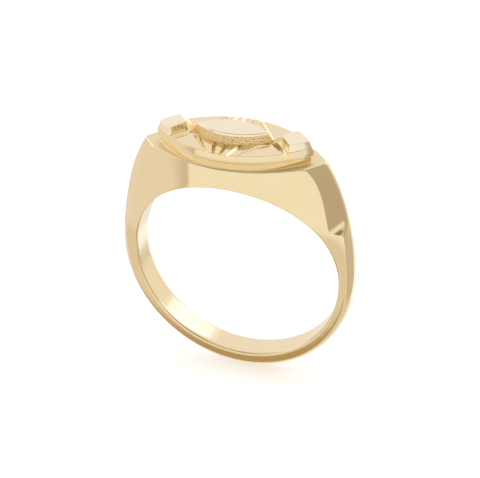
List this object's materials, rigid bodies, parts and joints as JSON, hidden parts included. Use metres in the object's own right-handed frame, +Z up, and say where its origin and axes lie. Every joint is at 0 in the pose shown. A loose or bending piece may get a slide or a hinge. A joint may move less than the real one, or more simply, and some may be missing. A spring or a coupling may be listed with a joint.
{
  "type": "signet ring",
  "caption": "Solid gold signet ring: round band flaring into faceted shoulders under a raised pointed-oval head with a plain boss and bright-cut engraved rays.",
  "frame": {"origin": "centre of the finger hole, in the middle of the shank's width", "axes": "+Z up through the head, +X along the head from one end block to the other, +Y along the finger"},
  "size_m": [0.0198, 0.007, 0.0226],
  "materials": {
    "polished_gold": "mirror-polished pale yellow gold",
    "plate_gold": "polished yellow gold, warmer where it is shaded",
    "solder": "pale polished hard solder",
    "engraved_gold": "polished gold with bright-cut V grooves",
    "block_gold": "polished gold",
    "boss_gold": "polished top with finely stippled sides"
  },
  "bodies": {
    "root": {"shank": "polished_gold", "under_plate": "plate_gold", "seat_solder": "solder", "top_plate": "engraved_gold", "end_block_left": "block_gold", "end_block_right": "block_gold", "centre_boss": "boss_gold"}
  },
  "joints": []
}
